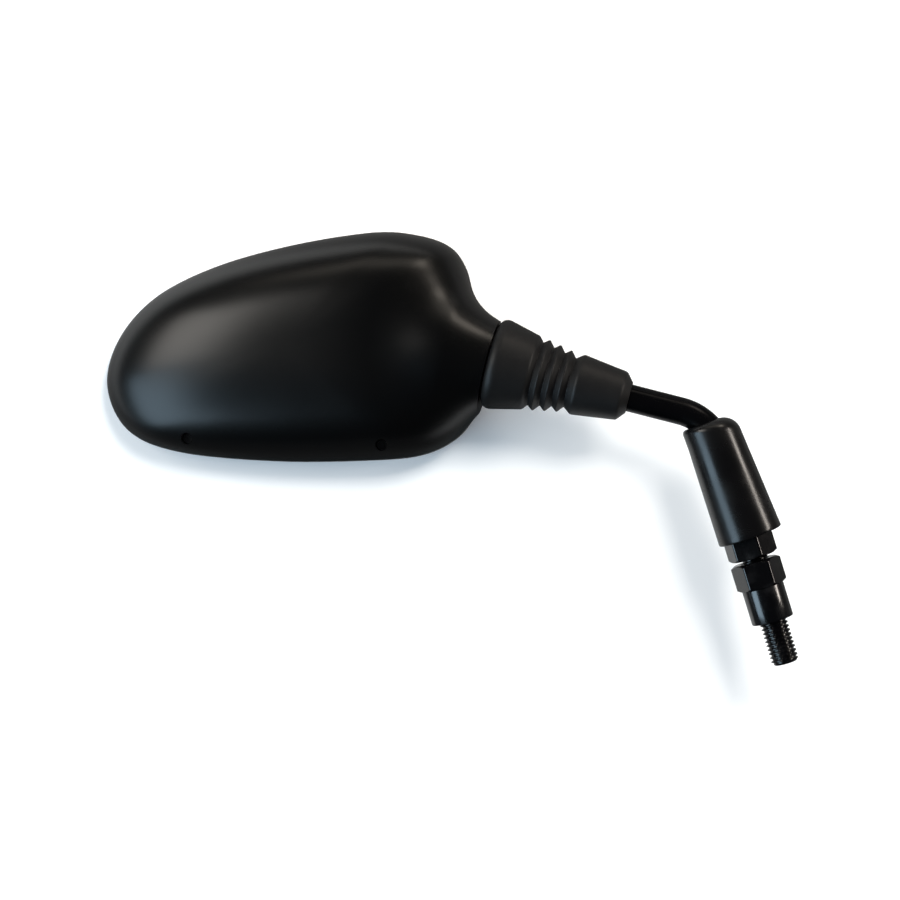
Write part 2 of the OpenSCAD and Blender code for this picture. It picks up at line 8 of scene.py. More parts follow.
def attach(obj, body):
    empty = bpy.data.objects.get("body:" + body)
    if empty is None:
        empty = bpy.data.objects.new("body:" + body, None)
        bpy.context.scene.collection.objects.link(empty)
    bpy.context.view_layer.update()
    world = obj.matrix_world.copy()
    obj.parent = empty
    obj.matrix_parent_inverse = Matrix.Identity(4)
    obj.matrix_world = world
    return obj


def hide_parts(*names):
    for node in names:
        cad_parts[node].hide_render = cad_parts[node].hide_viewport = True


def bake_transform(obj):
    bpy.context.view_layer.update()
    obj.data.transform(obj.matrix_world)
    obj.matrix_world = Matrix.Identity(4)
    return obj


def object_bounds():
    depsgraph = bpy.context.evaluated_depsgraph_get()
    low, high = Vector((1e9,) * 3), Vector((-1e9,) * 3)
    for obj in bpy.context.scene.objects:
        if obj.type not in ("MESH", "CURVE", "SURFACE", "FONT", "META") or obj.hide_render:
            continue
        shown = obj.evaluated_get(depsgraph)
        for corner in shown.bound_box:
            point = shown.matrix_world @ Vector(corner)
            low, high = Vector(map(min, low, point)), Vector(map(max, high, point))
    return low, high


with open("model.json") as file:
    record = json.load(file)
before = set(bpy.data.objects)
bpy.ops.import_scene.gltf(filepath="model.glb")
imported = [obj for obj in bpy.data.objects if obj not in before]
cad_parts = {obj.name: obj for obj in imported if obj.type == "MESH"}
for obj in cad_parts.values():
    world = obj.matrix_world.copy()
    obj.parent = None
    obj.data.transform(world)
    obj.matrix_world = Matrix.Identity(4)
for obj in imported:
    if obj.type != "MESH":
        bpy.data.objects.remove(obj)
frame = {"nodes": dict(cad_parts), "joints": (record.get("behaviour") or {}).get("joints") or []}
cad_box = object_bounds()
pivots = {joint["name"]: joint for joint in frame["joints"]}

# ---- Card, world, lamps and camera ----
# The mirror lies on its glass on white paper and is looked at from straight above, so here the paper stands
# upright behind it. A white card farther back is what the glass shows. Black surfaces mirror a dark room
# with windows and strips of light, so the card and the world are dimmer for glossy rays than for the camera.


class Wire:
    """One socket of a node tree, so that the sums behind a finish or a shape read as expressions."""

    def __init__(self, tree, socket):
        self.tree, self.socket = tree, socket

    def node(self, kind, inputs=(), out=0, **settings):
        """Any node of the same tree: its settings first, then the values or links of its sockets."""
        made = self.tree.nodes.new(kind)
        for name, value in settings.items():
            setattr(made, name, value)
        for socket, value in dict(inputs).items():
            if isinstance(value, Wire):
                self.tree.links.new(value.socket, made.inputs[socket])
            else:
                made.inputs[socket].default_value = value
        return Wire(self.tree, made.outputs[out])

    def sum(self, operation, first, second=0.0):
        """A sum of one or two values."""
        return self.node("ShaderNodeMath", {0: first, 1: second}, operation=operation)

    def by(self, operation):
        """This wire through a sum of one value, such as SINE."""
        return self.sum(operation, self)

    def parts(self):
        """The three values of a place."""
        split = self.node("ShaderNodeSeparateXYZ", {0: self}).socket.node
        return [Wire(self.tree, end) for end in split.outputs]

    def __add__(self, other):
        return self.sum("ADD", self, other)

    def __radd__(self, other):
        return self.sum("ADD", other, self)

    def __sub__(self, other):
        return self.sum("SUBTRACT", self, other)

    def __rsub__(self, other):
        return self.sum("SUBTRACT", other, self)

    def __mul__(self, other):
        return self.sum("MULTIPLY", self, other)

    def __rmul__(self, other):
        return self.sum("MULTIPLY", other, self)

    def __truediv__(self, other):
        return self.sum("DIVIDE", self, other)

    def least(self, other):
        return self.sum("MINIMUM", self, other)

    def most(self, other):
        return self.sum("MAXIMUM", self, other)

    def rise(self, low, high, start=0.0, end=1.0):
        """Goes smoothly from start to end as this wire goes from low to high."""
        return self.node("ShaderNodeMapRange", {0: self, 1: low, 2: high, 3: start, 4: end},
                         interpolation_type="SMOOTHSTEP")

    def noise(self, size, detail=3.0):
        """Noise over this place, with spots about one size across."""
        return self.node("ShaderNodeTexNoise", {"Vector": self, "Scale": 1 / size, "Detail": detail})

    def tint(self, dark, light):
        """A colour between two, by this wire."""
        return self.node("ShaderNodeMix", {0: self, 6: (*dark, 1), 7: (*light, 1)}, out=2, data_type="RGBA")

    def bump(self, height, strength=1.0):
        """Relief of a height in metres, as a normal."""
        return self.node("ShaderNodeBump", {"Height": self, "Strength": strength, "Distance": height})

    def into(self, shader, socket):
        """Links this wire to a socket of a shader or of an output."""
        self.tree.links.new(self.socket, shader.inputs[socket])


def new_finish(name, **constants):
    """A material with its shader and the place on the object; underscores stand for spaces in sockets."""
    material = bpy.data.materials.new(name)
    material.use_nodes = True
    tree = material.node_tree
    shader = tree.nodes["Principled BSDF"]
    for socket, value in constants.items():
        shader.inputs[socket.replace("_", " ")].default_value = value
    return material, shader, Wire(tree, tree.nodes.new("ShaderNodeTexCoord").outputs["Object"])


def ray_kinds(tree):
    """Wires that are 1 for rays from the camera, for rays through clear surfaces and for glossy ones."""
    rays = tree.nodes.new("ShaderNodeLightPath")
    return [Wire(tree, rays.outputs["Is %s Ray" % kind]) for kind in ("Camera", "Transmission", "Glossy")]


def add_stage(name, points, faces, *materials):
    """A piece of the setting, which belongs to no body."""
    mesh = bpy.data.meshes.new(name)
    mesh.from_pydata(points, [], faces)
    for material in materials:
        mesh.materials.append(material)
    piece = bpy.data.objects.new(name, mesh)
    bpy.context.scene.collection.objects.link(piece)
    return piece


black, white = (0, 0, 0), (1, 1, 1)
card_y, card_x, card_foot, card_top = 1.8, 6, -4, 5
card, shader, place = new_finish("white_card", Base_Color=(0.25, 0.25, 0.25, 1), Roughness=0.9,
                                 Emission_Strength=1.0)
from_camera, _, off_glossy = ray_kinds(place.tree)
_, _, height = place.parts()
# To the camera the card is white; mirrored, it glows grey with painted light that grows brighter upwards
painted_reflected_light = height.rise(-1.6, 1.8, 0.22, 0.66) + 0.04 * place.noise(0.9)
(from_camera + off_glossy * painted_reflected_light).least(1.0).tint(black, white).into(shader, "Emission Color")
add_stage("card", [(-card_x, card_y, card_foot), (card_x, card_y, card_foot), (card_x, card_y, card_top),
                   (-card_x, card_y, card_top)], [range(4)], card)

world = bpy.data.worlds.new("studio")
world.use_nodes = True
sky = world.node_tree.nodes["Background"]
seen_sky, lighting_sky, mirrored_sky = 1.0, 0.24, 0.01
from_camera, through, off_glossy = ray_kinds(world.node_tree)
in_view = from_camera.most(through)
(lighting_sky + (seen_sky - lighting_sky) * in_view
 - (lighting_sky - mirrored_sky) * off_glossy).into(sky, "Strength")
in_view.tint((0.84, 0.92, 1), white).into(sky, "Color")
bpy.context.scene.world = world

# Each lamp: name, way from the head, distance, size, power, colour, and whether glossy surfaces mirror it
head_spot = Vector((-0.15, 0.0, 0.09))
for name, way, distance, size, power, colour, is_mirrored in (
        ("window_high", (-0.69, -0.66, 0.30), 1.1, (0.5, 0.55), 4.6, (1.0, 0.96, 0.90), True),
        ("window_low", (-0.78, -0.49, -0.40), 1.1, (0.6, 0.9), 7.6, (0.60, 0.82, 1.0), True),
        ("strip_top", (0.03, -0.43, 0.90), 1.2, (1.3, 0.28), 1.5, (1.0, 0.92, 0.80), True),
        ("strip_shoulder", (0.50, -0.37, 0.78), 1.1, (0.2, 0.25), 1.0, (1.0, 0.90, 0.78), True),
        ("strip_right", (0.91, -0.36, 0.20), 1.1, (0.14, 0.5), 3.6, (1.0, 0.92, 0.84), True),
        ("key", (0.35, -0.79, 0.50), 1.2, (0.45, 0.45), 14.5, (1.0, 0.96, 0.90), False),
        ("behind", (-0.62, 0.75, 0.28), 1.2, (0.9, 0.9), 2.2, (0.95, 0.97, 1.0), True),
):
    lamp = bpy.data.lights.new(name, "AREA")
    lamp.shape, lamp.size, lamp.size_y = "RECTANGLE", *size
    lamp.energy, lamp.color = power, colour
    holder = bpy.data.objects.new(name, lamp)
    holder.location = head_spot + distance * Vector(way).normalized()
    holder.rotation_euler = (head_spot - holder.location).to_track_quat("-Z", "Y").to_euler()
    holder.visible_glossy = is_mirrored
    bpy.context.scene.collection.objects.link(holder)

camera = bpy.data.cameras.new("camera")
camera.lens, camera.sensor_width = 77.78, 36
holder = bpy.data.objects.new("camera", camera)
holder.location, holder.rotation_euler = (-0.1162, -0.7, 0.0612), (np.pi / 2, 0, 0)
bpy.context.scene.collection.objects.link(holder)
bpy.context.scene.camera = holder
bpy.context.scene.view_settings.view_transform = "Standard"

# ---- Stud adapter ----
# Turned from 16 mm hexagon bar and blackened: an M10 stud with a pitch of 1.5 mm below, a round shank,
# and a hexagon with a threaded socket for the stem. The stud is cut by a rule in Geometry Nodes.


def rings_about(foot, up, points, columns=96, across=None, start=0.0):
    """Rings round an axis from (radius, height) points; across(angle, radius, height) may bend them."""
    up = np.array(up, float) / np.linalg.norm(up)
    side = np.cross((0, 1, 0), up) if abs(up[1]) < 0.99 else np.array((1.0, 0, 0))
    side /= np.linalg.norm(side)
    other = np.cross(up, side)
    angle = start + np.linspace(0, 2 * np.pi, columns, endpoint=False)
    radius = np.array([p[0] for p in points])[:, None] + 0 * angle
    height = np.array([p[1] for p in points])[:, None] + 0 * angle
    if across is not None:
        radius = across(angle[None, :] + 0 * radius, radius, height)
    return (np.array(foot) + (radius * np.cos(angle))[..., None] * side
            + (radius * np.sin(angle))[..., None] * other + height[..., None] * up)


def smoothed(mesh, sharp):
    """The same mesh, shaded smooth except at edges sharper than an angle in degrees."""
    mesh.shade_smooth()
    mesh.set_sharp_from_angle(angle=np.radians(sharp))
    return mesh


def ring_mesh(name, rings, joined=False, sharp=38.0):
    """A closed smooth mesh over rings, which close on their middles or, when joined, on each other."""
    rings = np.asarray(rings, float)
    rows, columns = rings.shape[:2]
    here = np.arange(rows * columns).reshape(rows, columns)
    after = np.roll(here, -1, axis=1)
    count = rows if joined else rows - 1
    above = np.roll(here, -1, axis=0)[:count]
    above_after = np.roll(after, -1, axis=0)[:count]
    faces = np.stack([here[:count], after[:count], above_after, above], axis=-1).reshape(-1, 4).tolist()
    points = rings.reshape(-1, 3)
    if not joined:
        points = np.vstack([points, rings[0].mean(0), rings[-1].mean(0)])
        low, high = rows * columns, rows * columns + 1
        faces += [(low, b, a) for a, b in zip(here[0].tolist(), after[0].tolist())]
        faces += [(high, a, b) for a, b in zip(here[-1].tolist(), after[-1].tolist())]
    mesh = bpy.data.meshes.new(name)
    mesh.from_pydata(points.tolist(), [], faces)
    return smoothed(mesh, sharp)


def add_piece(name, mesh, material, body, slot, *nodes):
    """Links a finished mesh to the scene, rides it on its body and hides the CAD nodes it stands for."""
    mesh.materials.clear()
    mesh.materials.append(material)
    piece = bpy.data.objects.new(name, mesh)
    bpy.context.scene.collection.objects.link(piece)
    if body is not None:
        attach(piece, body)
    if nodes:
        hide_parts(*nodes)
    return piece


def hexagon(flats, foot, top, turn):
    """Bends a round section to a hexagon between two heights, its corners turned off on a cone."""
    face, worn, touch = 0.96 * flats / 2, 0.00012, 1e-7
    corner = flats / 2 / np.cos(np.pi / 6) - worn

    def across(angle, radius, height):
        from_flat = (angle + turn) % (np.pi / 3) - np.pi / 6
        edge = np.minimum(height - foot, top - height)
        limit = np.minimum(corner, face + edge / np.tan(np.pi / 6))
        side = np.minimum(flats / 2 / np.cos(from_flat), limit)
        return np.where((edge > -touch) & (radius > 0.9 * face), side, radius)

    return across


def hexagon_rows(foot, top):
    """Profile points beyond a hexagon's sides, close together at its ends, which hexagon() brings in."""
    beyond, bevel, steps = 0.0092, 0.0012, 13
    heights = [foot + rise for rise in np.linspace(0, bevel, steps)]
    heights += [top - rise for rise in np.linspace(bevel, 0, steps)]
    return [(beyond, height) for height in heights]


def bore_mouth(face, inward):
    """Profile points of a threaded bore's small countersink, from a face inward."""
    return [(bore_radius + wider, face + inward * depth)
            for wider, depth in ((0.0006, 0.0), (0.00015, 0.0004), (0.0, 0.0007))]


stud_up = np.array(pivots["stem_swivel"]["axis"])
hex_flats, hex_turn, hex_foot, hex_top = 0.016, np.radians(8), 0.0126, 0.0223
shank_radius, bore_radius, socket_foot, broken_edge = 0.0076, 0.0050, 0.0063, 0.0004

# Blackened steel: oxide over fine turning marks, rubbed a little brighter in patches
black_steel, shader, place = new_finish("black_steel", Metallic=0.1, IOR=1.75)
patch, marks = place.noise(0.006, 4.0), place.noise(0.0005, 2.0)
rub = patch.rise(0.45, 0.75)
rub.tint((0.0015, 0.0015, 0.002), (0.006, 0.0062, 0.007)).into(shader, "Base Color")
(0.15 + 0.08 * marks + 0.05 * rub).into(shader, "Roughness")
(marks + 0.5 * patch).bump(0.00002, 0.25).into(shader, "Normal")

rows = [(shank_radius - broken_edge, 0.0), (shank_radius - 0.3 * broken_edge, 0.3 * broken_edge),
        (shank_radius, broken_edge), (shank_radius, hex_foot - broken_edge),
        (shank_radius - 0.00005, hex_foot - 0.00005)]
rows += [(shank_radius - 0.0001, hex_foot)] + hexagon_rows(hex_foot, hex_top)
rows += bore_mouth(hex_top, -1) + [(bore_radius, socket_foot)]
rings = rings_about((0, 0, 0), stud_up, rows, columns=192, start=-hex_turn,
                    across=hexagon(hex_flats, hex_foot, hex_top, hex_turn))
add_piece("adapter_body", ring_mesh("adapter_body", rings, sharp=32), black_steel, "adapter", "black_steel",
          "stud_adapter")


def new_shape_tree(name, sockets):
    """A Geometry Nodes tree with named inputs; gives it, a wire for each input and the output node."""
    tree = bpy.data.node_groups.new(name, "GeometryNodeTree")
    tree.interface.new_socket("Geometry", in_out="OUTPUT", socket_type="NodeSocketGeometry")
    for label, kind in sockets.items():
        tree.interface.new_socket(label, in_out="INPUT", socket_type="NodeSocket" + kind)
    source, sink = tree.nodes.new("NodeGroupInput"), tree.nodes.new("NodeGroupOutput")
    return tree, {label: Wire(tree, source.outputs[label]) for label in sockets}, sink


def grown(name, tree, values):
    """The plain mesh that a tree gives for these inputs."""
    host = bpy.data.objects.new(name, bpy.data.meshes.new(name))
    bpy.context.scene.collection.objects.link(host)
    modifier = host.modifiers.new("shape", "NODES")
    modifier.node_group = tree
    keys = {item.name: item.identifier for item in tree.interface.items_tree if item.in_out == "INPUT"}
    for label, value in values.items():
        modifier[keys[label]] = value
    graph = bpy.context.evaluated_depsgraph_get()
    mesh = bpy.data.meshes.new_from_object(host.evaluated_get(graph))
    host.modifiers.remove(modifier)
    bpy.data.objects.remove(host)
    mesh.name = name
    return mesh


crest_share, flank_share, run_out_turns = 0.14, 0.66, 1.3
thread_tree, of, sink = new_shape_tree("cut_thread", {
    "Crest Radius": "Float", "Depth": "Float", "Pitch": "Float", "Length": "Float", "Point": "Float",
    "Columns": "Int", "Rows": "Int", "Finish": "Material"})
crest, tall = of["Crest Radius"], of["Length"]
sheet = crest.node("GeometryNodeMeshGrid", {0: 1.0, 1: 1.0, 2: of["Columns"] + 1, 3: of["Rows"] + 1})
flat_x, flat_y, _ = crest.node("GeometryNodeInputPosition").parts()
turn, height = flat_x + 0.5, (flat_y + 0.5) * tall
flank = ((height / of["Pitch"] - turn).by("FRACT") - 0.5).by("ABSOLUTE") * 2.0
groove = ((flank - crest_share) / flank_share).most(0.0).least(1.0)
run_out = ((tall - height) / of["Pitch"] / run_out_turns).least(1.0)
radius = (crest - of["Depth"] * groove * run_out).least(crest - of["Point"] + height)
circle = turn * (2 * np.pi)
moved = crest.node("ShaderNodeCombineXYZ", {
    0: radius * circle.by("COSINE"), 1: radius * circle.by("SINE"), 2: height})
flanks = crest.node("GeometryNodeSetPosition", {"Geometry": sheet, "Position": moved})
lids = []
for lid_radius, lid_height in ((crest - of["Point"], 0.0), (crest, tall)):
    lid = crest.node("GeometryNodeMeshCircle", {0: of["Columns"], 1: lid_radius}, fill_type="TRIANGLE_FAN")
    lift = crest.node("ShaderNodeCombineXYZ", {2: lid_height})
    lids.append(crest.node("GeometryNodeTransform", {"Geometry": lid, "Translation": lift}))
lids[0] = crest.node("GeometryNodeFlipFaces", {0: lids[0]})
joined = crest.node("GeometryNodeJoinGeometry")
for part in (flanks, *lids):
    crest.tree.links.new(part.socket, joined.socket.node.inputs[0])
whole = crest.node("GeometryNodeMergeByDistance", {"Geometry": joined, "Distance": 1e-6})
real = crest.node("GeometryNodeRealizeInstances", {0: whole})
crest.node("GeometryNodeSetMaterial", {"Geometry": real, "Material": of["Finish"]}).into(sink, 0)


def standing(foot, up):
    """The place of a mesh whose own Z runs along a direction from a foot."""
    up = Vector(up).normalized()
    side = Vector((0, 1, 0)).cross(up).normalized() if abs(up.y) < 0.99 else Vector((1, 0, 0))
    turned = Matrix((side, up.cross(side), up)).transposed().to_4x4()
    return Matrix.Translation(Vector(foot)) @ turned


stud_length, stud_radius, pitch, tuck = 0.016, 0.005, 0.0015, 0.0004
stud = grown("stud_thread", thread_tree, {
    "Crest Radius": stud_radius, "Depth": 0.00085, "Pitch": pitch, "Length": stud_length + tuck,
    "Point": 0.001, "Columns": 96, "Rows": 180, "Finish": black_steel})
stud.transform(standing(-stud_length * stud_up, stud_up))
add_piece("stud_thread", smoothed(stud, sharp=34), black_steel, "adapter", "black_steel")

# ---- Bent stem ----
# A 10 mm steel rod, threaded below and bent cold over a 20 mm former, sprayed gloss black. Its neck and
# spigot carry the ball inside the head. One path with two straights and a bend is swept by a rule.
neck_out = np.array(pivots["head_tilt"]["axis"])
neck_out /= np.linalg.norm(neck_out)
ball_centre = np.array(pivots["head_tilt"]["pos_m"])
bend_height, bend_radius, rod_radius, ball_flat = 0.0757, 0.020, 0.005, 0.0065
bend_corner, thread_foot, thread_top = bend_height * stud_up, 0.0073, 0.0433

gloss_paint, shader, place = new_finish("gloss_paint", Specular_IOR_Level=0.12)
haze, peel = place.noise(0.02, 3.0), place.noise(0.0016, 2.0)
haze.tint((0.0008, 0.0008, 0.001), (0.0016, 0.0016, 0.002)).into(shader, "Base Color")
(0.17 + 0.12 * haze.rise(0.3, 0.8)).into(shader, "Roughness")
peel.bump(0.00004, 0.25).into(shader, "Normal")

step_run, taper_run = 0.0006, 0.003
rod_tree, of, sink = new_shape_tree("bent_rod", {
    "Foot": "Vector", "Corner": "Vector", "End": "Vector", "Bend Radius": "Float", "Rod Radius": "Float",
    "Neck Radius": "Float", "Neck Length": "Float", "Spigot Radius": "Float", "Spigot Length": "Float",
    "Finish": "Material"})
rod = of["Rod Radius"]
index = rod.node("GeometryNodeInputIndex")
switch = index.node("GeometryNodeIndexSwitch", data_type="VECTOR").socket.node
switch.index_switch_items.new()
for socket, wire in zip(switch.inputs, (index, of["Foot"], of["Corner"], of["End"])):
    rod.tree.links.new(wire.socket, socket)
dots = rod.node("GeometryNodePoints", {"Count": 3, "Position": Wire(rod.tree, switch.outputs[0])})
line = rod.node("GeometryNodePointsToCurves", {"Points": dots})
bent = rod.node("GeometryNodeFilletCurve", {"Curve": line, "Count": 40, "Radius": of["Bend Radius"]},
                mode="POLY")
even = rod.node("GeometryNodeResampleCurve", {"Curve": bent, "Length": 0.0005}, mode="LENGTH")
along = rod.node("GeometryNodeSplineParameter", out=1)
left = rod.node("GeometryNodeCurveLength", {"Curve": even}) - along
past_spigot = ((left - of["Spigot Length"]) / step_run).most(0.0).least(1.0)
past_neck = ((left - of["Spigot Length"] - of["Neck Length"]) / taper_run).most(0.0).least(1.0)
thick = (of["Spigot Radius"] + (of["Neck Radius"] - of["Spigot Radius"]) * past_spigot
         + (rod - of["Neck Radius"]) * past_neck)
hoop = rod.node("GeometryNodeCurvePrimitiveCircle", {"Resolution": 72, "Radius": 1.0})
swept = rod.node("GeometryNodeCurveToMesh", {
    "Curve": even, "Profile Curve": hoop, "Scale": thick, "Fill Caps": True})
real = rod.node("GeometryNodeRealizeInstances", {0: swept})
rod.node("GeometryNodeSetMaterial", {"Geometry": real, "Material": of["Finish"]}).into(sink, 0)

stem = grown("stem_rod", rod_tree, {
    "Foot": tuple((thread_top - tuck) * stud_up), "Corner": tuple(bend_corner),
    "End": tuple(ball_centre - ball_flat * neck_out), "Bend Radius": bend_radius, "Rod Radius": rod_radius,
    "Neck Radius": 0.004, "Neck Length": 0.0055, "Spigot Radius": 0.003, "Spigot Length": 0.013,
    "Finish": gloss_paint})
add_piece("stem_rod", smoothed(stem, sharp=40), gloss_paint, "stem", "stem_paint", "stem")

stem_thread = grown("stem_thread", thread_tree, {
    "Crest Radius": 0.00495, "Depth": 0.0008, "Pitch": pitch, "Length": thread_top - thread_foot,
    "Point": 0.0009, "Columns": 72, "Rows": 300, "Finish": black_steel})
stem_thread.transform(standing(thread_foot * stud_up, stud_up))
add_piece("stem_thread", smoothed(stem_thread, sharp=34), black_steel, "stem", "black_steel")

# ---- Lock nut ----
# A nut of the same 16 mm hexagon, which locks the stem once it is run down on the adapter; as in the photo
# it stands a little above. Its corners are turned off on both faces and its bore has small countersinks.
nut_foot, nut_top, nut_turn = 0.0237, 0.0317, np.radians(18.7)
rows = bore_mouth(nut_foot, 1)[::-1] + hexagon_rows(nut_foot, nut_top) + bore_mouth(nut_top, -1)
rings = rings_about((0, 0, 0), stud_up, rows, columns=192, start=-nut_turn,
                    across=hexagon(hex_flats, nut_foot, nut_top, nut_turn))
nut = ring_mesh("nut_body", rings, joined=True, sharp=32)
add_piece("nut_body", nut, black_steel, "nut", "black_steel", "lock_nut")

# ---- Ball and its two liners ----
# A zinc-plated steel ball pressed on the stem's spigot, gripped between two thin nylon cups, so that
# the head can be set by hand and then stays. All three keep their CAD shapes. The screws of the ball's clamp
# and of the glass carrier have the same zinc, so they are dressed here too.


def dress(node, material):
    """Gives a CAD node's object a finish."""
    slots = frame["nodes"][node].material_slots
    if slots:
        for slot in slots:
            slot.material = material
    else:
        frame["nodes"][node].data.materials.append(material)


bright_steel, shader, place = new_finish("bright_steel", Metallic=1.0)
spangle, scuff = place.noise(0.0012, 3.0), place.noise(0.00025, 2.0)
spangle.tint((0.44, 0.45, 0.47), (0.58, 0.58, 0.57)).into(shader, "Base Color")
(0.24 + 0.2 * scuff).into(shader, "Roughness")
scuff.bump(0.00001, 0.3).into(shader, "Normal")
for node in ("pivot_ball", "clamp_screws", "carrier_screws"):
    dress(node, bright_steel)

nylon, shader, place = new_finish("nylon", IOR=1.53, Subsurface_Weight=0.15, Subsurface_Scale=0.001)
cloud = place.noise(0.003, 3.0)
cloud.tint((0.66, 0.64, 0.57), (0.76, 0.74, 0.68)).into(shader, "Base Color")
(0.4 + 0.15 * place.noise(0.0004)).into(shader, "Roughness")
place.noise(0.0002, 2.0).bump(0.00001, 0.3).into(shader, "Normal")
for node in ("saddle_liner", "clamp_liner"):
    dress(node, nylon)

# ---- Housing ----
# Moulded from black polypropylene with a fine grain: a full dome whose surface flows into a round neck,
# with a saddle and two bosses for the ball's clamp inside and two screw wells low in the back.
half_length, half_height, head_reach, head_rise = 0.0695, 0.0428, 0.059, 0.0025
head_depth, depth_gain, fullness, ball_inset, wall, rim_wall = 0.034, 0.010, 2.7, 0.0215, 0.0024, 0.0015
neck_root, neck_end, neck_length, neck_blend = 0.0175, 0.0152, 0.0152, 0.016
head_middle = ball_centre + np.array((-head_reach, ball_inset, head_rise))
# The outline in shares of half its length and height, from the neck end up and round
outline_turns = np.array([
    (1, -0.05), (0.975, 0.42), (0.94, 0.69), (0.85, 0.88), (0.67, 0.98), (0.43, 1), (0, 0.89),
    (-0.41, 0.705), (-0.735, 0.44), (-0.935, 0.075), (-1, -0.341), (-0.885, -0.73), (-0.6, -0.92),
    (-0.073, -0.998), (0.43, -0.99), (0.7, -0.945), (0.88, -0.81), (0.98, -0.61), (1, -0.37),
]) * (half_length, half_height)


def closed_curve(turns, steps):
    """A smooth closed curve through turns, stepped evenly between each two."""
    a, b, c, d = (np.roll(turns, k, axis=0)[:, None] for k in (1, 0, -1, -2))
    t = np.linspace(0, 1, steps, endpoint=False)[None, :, None]
    curve = 2 * b + (c - a) * t + (2 * a - 5 * b + 4 * c - d) * t ** 2 + (3 * b - a - 3 * c + d) * t ** 3
    return (curve / 2).reshape(-1, 2)


outline = closed_curve(outline_turns, steps=16)


def inset_outline(distance, line=outline):
    """The head's outline moved inward by a distance."""
    run = np.roll(line, -1, axis=0) - np.roll(line, 1, axis=0)
    side = np.stack([run[:, 1], -run[:, 0]], axis=1) / np.linalg.norm(run, axis=1)[:, None]
    return line - distance * side


def head_ring(line, depth):
    """A ring of the head at a depth below its edge; depth may differ from point to point."""
    return head_middle + np.stack([line[:, 0], -depth + 0 * line[:, 0], line[:, 1]], axis=1)


def past_surface(point, edge, inset):
    """How far points lie past the head's surface: the dome and the neck, with a fillet between.
    They are measured from the head's middle, with y towards the crown, against the frame's own y."""
    depth = head_depth + depth_gain * point[..., 0] / half_length - inset
    across = np.hypot(point[..., 0], point[..., 2]) / (edge - inset)
    share = (across ** fullness + (point[..., 1] / depth) ** fullness) ** (1 / fullness)
    far = np.linalg.norm(point, axis=-1)
    dome = far * (1 - 1 / share)
    way = neck_out * (1, -1, 1)
    q = point - (head_reach, ball_inset, -head_rise)
    run = np.clip(q @ way, 0, neck_length + wall)
    neck = (np.linalg.norm(q - run[..., None] * way, axis=-1)
            - (neck_root + (neck_end - neck_root) * run / neck_length - inset))
    return np.minimum(dome, neck) - np.maximum(neck_blend - np.abs(dome - neck), 0) ** 2 / (4 * neck_blend)


def head_surface(angles, inset, line=outline):
    """Rings of the head's surface at angles from its edge's plane, each ray's reach found by halving."""
    edge = np.hypot(*line.T)
    angle = np.radians(angles)[:, None]
    way = np.stack([np.cos(angle) * line[:, 0] / edge, np.sin(angle) + 0 * edge,
                    np.cos(angle) * line[:, 1] / edge], axis=-1)
    low, high, halvings = np.full(way.shape[:2], 0.001), np.full(way.shape[:2], 2 * half_length), 32
    for _ in range(halvings):
        middle = (low + high) / 2
        out = past_surface(middle[..., None] * way, edge, inset) > 0
        low, high = np.where(out, low, middle), np.where(out, middle, high)
    return head_middle + low[..., None] * way * (1, -1, 1)


def peg(foot, up, radius, length, end_radius=None, columns=64):
    """A plain round or tapered solid, for joining to a form or cutting it."""
    points = [(radius, 0), (radius if end_radius is None else end_radius, length)]
    return ring_mesh("peg", rings_about(foot, up, points, columns))


def ball(centre, radius, rows=32, columns=64):
    """A plain ball, for cutting the saddle."""
    angle = np.linspace(-np.pi / 2, np.pi / 2, rows + 1)[1:-1]
    points = [(radius * np.cos(a), radius * np.sin(a)) for a in angle]
    return ring_mesh("ball", rings_about(centre, (0, 0, 1), points, columns))


def carved(mesh, steps):
    """A mesh after (operation, solid) steps, in order; each joins the solid to it or cuts it away."""
    host = bpy.data.objects.new("host", mesh)
    bpy.context.scene.collection.objects.link(host)
    tools = []
    for operation, solid in steps:
        tool = bpy.data.objects.new("tool", solid)
        bpy.context.scene.collection.objects.link(tool)
        modifier = host.modifiers.new("cut", "BOOLEAN")
        modifier.operation, modifier.solver, modifier.object = operation, "MANIFOLD", tool
        tools.append(tool)
    graph = bpy.context.evaluated_depsgraph_get()
    made = bpy.data.meshes.new_from_object(host.evaluated_get(graph))
    host.modifiers.clear()
    for spare in (host, *tools):
        bpy.data.objects.remove(spare)
    return made


cut, join = "DIFFERENCE", "UNION"
back, glass_way = np.array((0, -1, 0)), np.array((0, 1, 0))
# The ball's saddle, the spigot for the bellows and the opening that lets the stem swing
ball_room, saddle_radius, saddle_foot, neck_spigot, spigot_reach = 0.0105, 0.0122, 0.0049, 0.0126, 0.004
opening_foot, opening_length, stem_swing = 0.0054, 0.0202, np.radians(16.2)
# The pocket for the carrier, the clamp screws' bosses and the carrier screws' wells
pocket_depth, clamp_offset, boss_radius, boss_foot, hole_radius, hole_foot = (
    0.007, 0.0185, 0.00455, 0.003, 0.0018, 0.004)
well_radius, well_outside, well_floor, well_roof, screw_hole = 0.0021, 0.0035, 0.011, 0.0094, 0.0012
outer_setback, outer_lift, inner_setback, inner_lift = 0.0318, 0.0086, 0.0355, 0.0062
wells = [head_middle + (outer_setback - half_length, 0, outer_lift - half_height),
         head_middle + (half_length - inner_setback, 0, inner_lift - half_height)]
clamp_screws = [ball_centre + (0, 0, offset) for offset in (clamp_offset, -clamp_offset)]
# How far a cutting solid stands past what it cuts, and one that clears all beyond the neck's end
past, far_radius, far_length = 0.001, 0.045, 0.05

